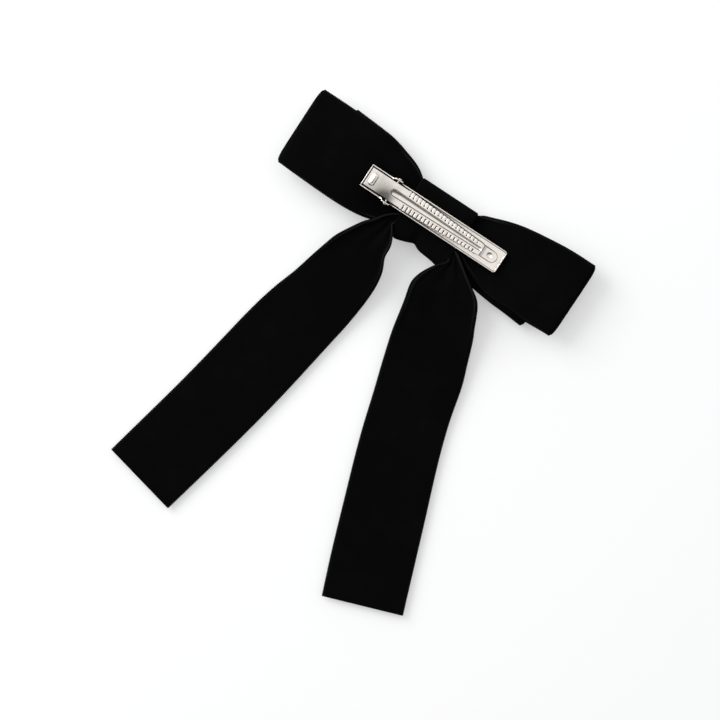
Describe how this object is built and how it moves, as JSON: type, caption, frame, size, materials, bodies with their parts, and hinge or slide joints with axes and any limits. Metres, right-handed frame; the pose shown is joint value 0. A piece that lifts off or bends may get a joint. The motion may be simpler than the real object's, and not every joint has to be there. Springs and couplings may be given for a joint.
{
  "type": "hair bow",
  "caption": "Flat double-looped velvet ribbon bow with a wide knot and long straight-cut tails, carried on a toothed spring clip for the hair.",
  "frame": {"origin": "middle of the knot's flat front face, the side that shows when the bow is worn", "axes": "+X along the loops, +Y away from the tails, +Z out of the back, where the clip is"},
  "size_m": [0.1689, 0.2068, 0.0212],
  "materials": {
    "velvet": "black cut-pile velvet with woven selvedges",
    "thread": "black sewing thread",
    "glue": "translucent hot-melt film",
    "nickel": "bright nickel plate",
    "spring_steel": "plated spring strip"
  },
  "bodies": {
    "bow": {"knot_band": "velvet", "front_loop": "velvet", "rear_loop": "velvet", "left_tail": "velvet", "right_tail": "velvet", "binding_thread": "thread", "clip_glue": "glue", "clip_base": "nickel", "pivot_pin": "nickel", "leaf_spring": "spring_steel"},
    "lever": {"clip_jaw": "nickel"}
  },
  "joints": [
    {"name": "clip_open", "type": "hinge", "parent": "bow", "child": "lever", "pos_m": [-0.024, 0.0026, 0.01405], "axis": [0, -1, 0], "range_deg": [0, 22], "stiffness_Nm_per_rad": 0.12, "springref_deg": -22.92, "deforming": ["leaf_spring"]}
  ]
}
